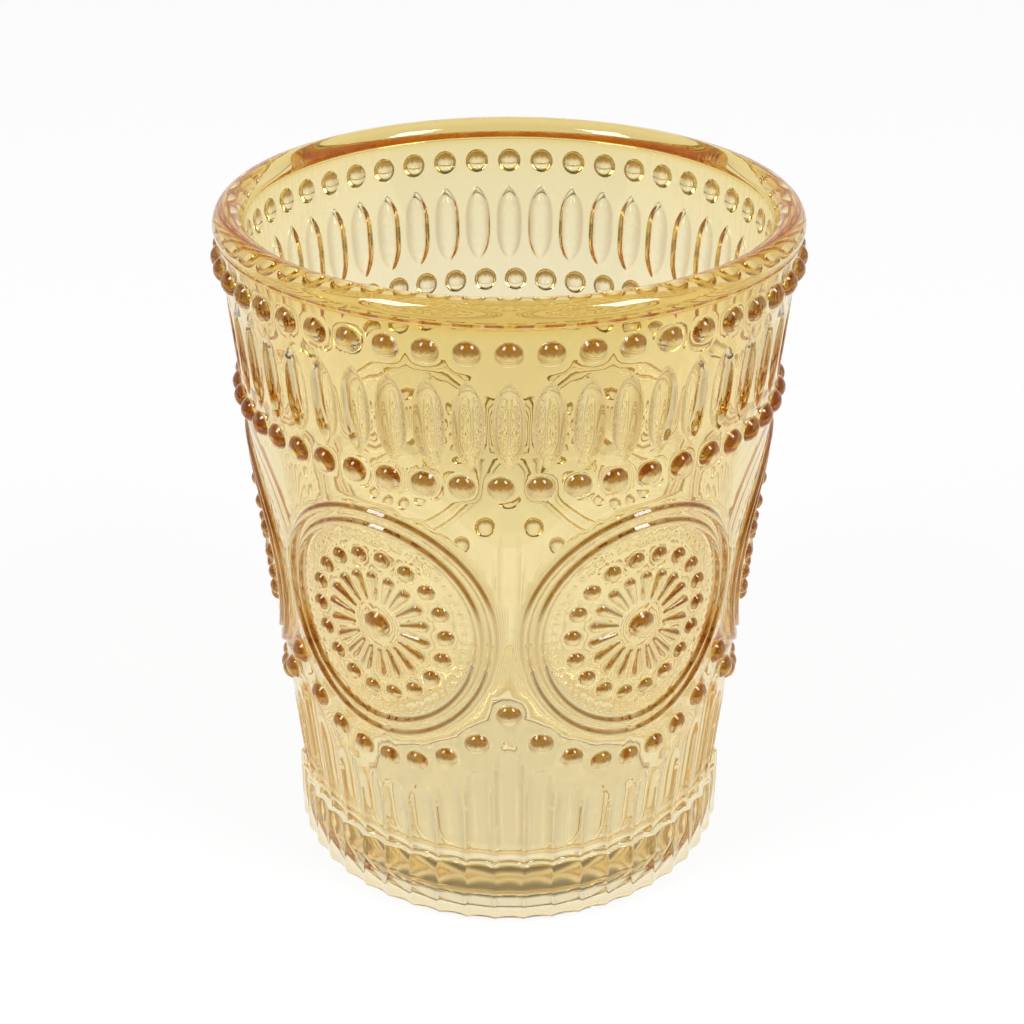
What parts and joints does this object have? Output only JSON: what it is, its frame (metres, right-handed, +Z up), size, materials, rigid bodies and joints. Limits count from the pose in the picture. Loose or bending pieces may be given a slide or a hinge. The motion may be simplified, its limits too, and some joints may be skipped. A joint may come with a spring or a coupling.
{
  "type": "drinking glass",
  "caption": "Tapering pressed-glass tumbler in amber, with bead rows, a leaf band, round medallions and a fluted skirt and foot.",
  "frame": {"origin": "centre of the foot, on the surface that the glass stands on", "axes": "+Z up through the middle of the mouth, -Y towards the viewer, between two medallions"},
  "size_m": [0.084, 0.084, 0.1024],
  "materials": {
    "amber_glass": "clear amber pressed glass, fire polished"
  },
  "bodies": {
    "root": {"base": "amber_glass", "wall": "amber_glass", "rim_lip": "amber_glass", "upper_bead_row": "amber_glass", "leaf_band": "amber_glass", "lower_bead_row": "amber_glass", "medallion_1": "amber_glass", "medallion_2": "amber_glass", "medallion_3": "amber_glass", "medallion_4": "amber_glass", "medallion_5": "amber_glass", "medallion_6": "amber_glass", "swag_beads": "amber_glass", "skirt_flutes": "amber_glass", "foot_flutes": "amber_glass"}
  },
  "joints": []
}
